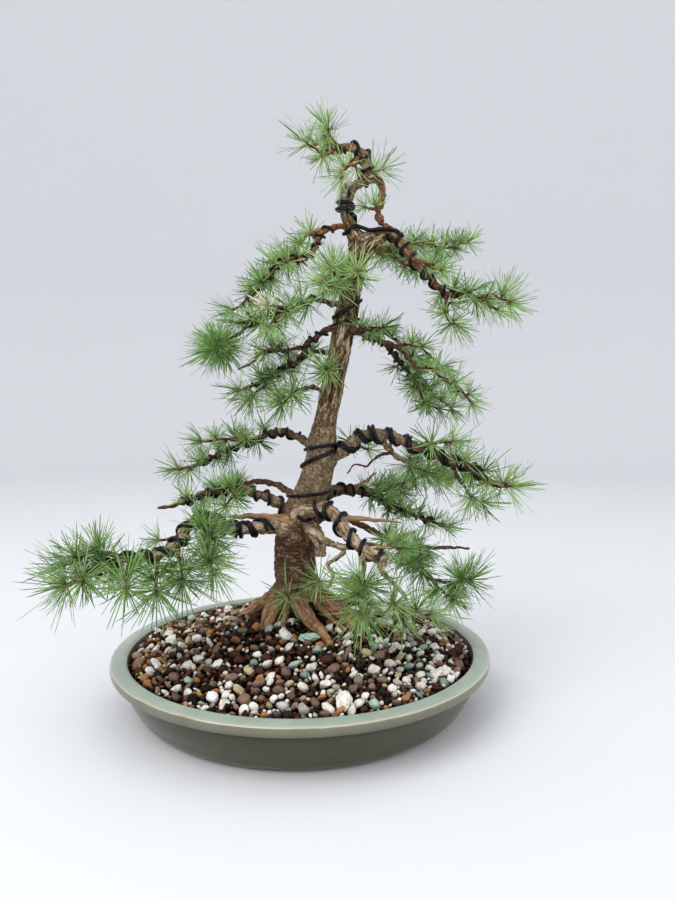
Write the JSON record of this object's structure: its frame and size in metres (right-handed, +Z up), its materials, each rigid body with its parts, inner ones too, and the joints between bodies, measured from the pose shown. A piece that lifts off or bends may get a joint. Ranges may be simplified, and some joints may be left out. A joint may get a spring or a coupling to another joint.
{
  "type": "larch bonsai",
  "caption": "Wired larch bonsai with tufts of fresh green needles, planted in mixed grit in a round, shallow, celadon-glazed pot.",
  "frame": {"origin": "middle of the pot's flat underside, on the surface that it stands on", "axes": "+Z up, -Y towards the front of the tree, +X to the right as seen from the front"},
  "size_m": [0.3011, 0.26, 0.4111],
  "materials": {
    "celadon_glaze": "glossy celadon glaze",
    "screen_plastic": "moulded mesh",
    "grit_soil": "loose mixed grit",
    "larch_bark": "rough flaking bark and bare deadwood",
    "pumice_stone": "rough pumice",
    "dark_wire": "dark anodised, satin",
    "larch_needles": "soft satin leaf"
  },
  "bodies": {
    "root": {"drainage_screen_left": "screen_plastic", "drainage_screen_right": "screen_plastic", "larch_wood": "larch_bark", "needles_apex": "larch_needles", "needles_apex_low": "larch_needles", "needles_apex_right": "larch_needles", "needles_base": "larch_needles", "needles_base_right": "larch_needles", "needles_crown_front": "larch_needles", "needles_hook": "larch_needles", "needles_left_back": "larch_needles", "needles_left_low": "larch_needles", "needles_left_low_in": "larch_needles", "needles_left_low_up": "larch_needles", "needles_left_two": "larch_needles", "needles_low_left": "larch_needles", "needles_low_twig": "larch_needles", "needles_mid_left": "larch_needles", "needles_mid_left_back": "larch_needles", "needles_mid_rear": "larch_needles", "needles_mid_right": "larch_needles", "needles_mid_right_near": "larch_needles", "needles_mid_right_stub": "larch_needles", "needles_right_back": "larch_needles", "needles_right_end": "larch_needles", "needles_right_front": "larch_needles", "needles_right_front_end": "larch_needles", "needles_right_low": "larch_needles", "needles_right_one": "larch_needles", "needles_right_one_under": "larch_needles", "needles_right_two": "larch_needles", "needles_right_upper_stub": "larch_needles", "needles_top_back": "larch_needles", "needles_top_left": "larch_needles", "needles_top_rear": "larch_needles", "needles_top_right": "larch_needles", "needles_trunk_front": "larch_needles", "needles_upper_left": "larch_needles", "needles_upper_left_globe": "larch_needles", "pot": "celadon_glaze", "soil_bed": "grit_soil", "stone_pumice_front": "pumice_stone", "stone_pumice_left": "pumice_stone", "stone_pumice_right": "pumice_stone", "stone_zeolite": "pumice_stone", "wire_apex": "dark_wire", "wire_left_low": "dark_wire", "wire_left_two": "dark_wire", "wire_low_left": "dark_wire", "wire_mid_left": "dark_wire", "wire_mid_right": "dark_wire", "wire_neck": "dark_wire", "wire_right_front": "dark_wire", "wire_right_one": "dark_wire", "wire_right_two": "dark_wire", "wire_top_left": "dark_wire", "wire_top_right": "dark_wire", "wire_trunk_lower": "dark_wire", "wire_trunk_upper": "dark_wire", "wire_upper_left": "dark_wire"}
  },
  "joints": []
}
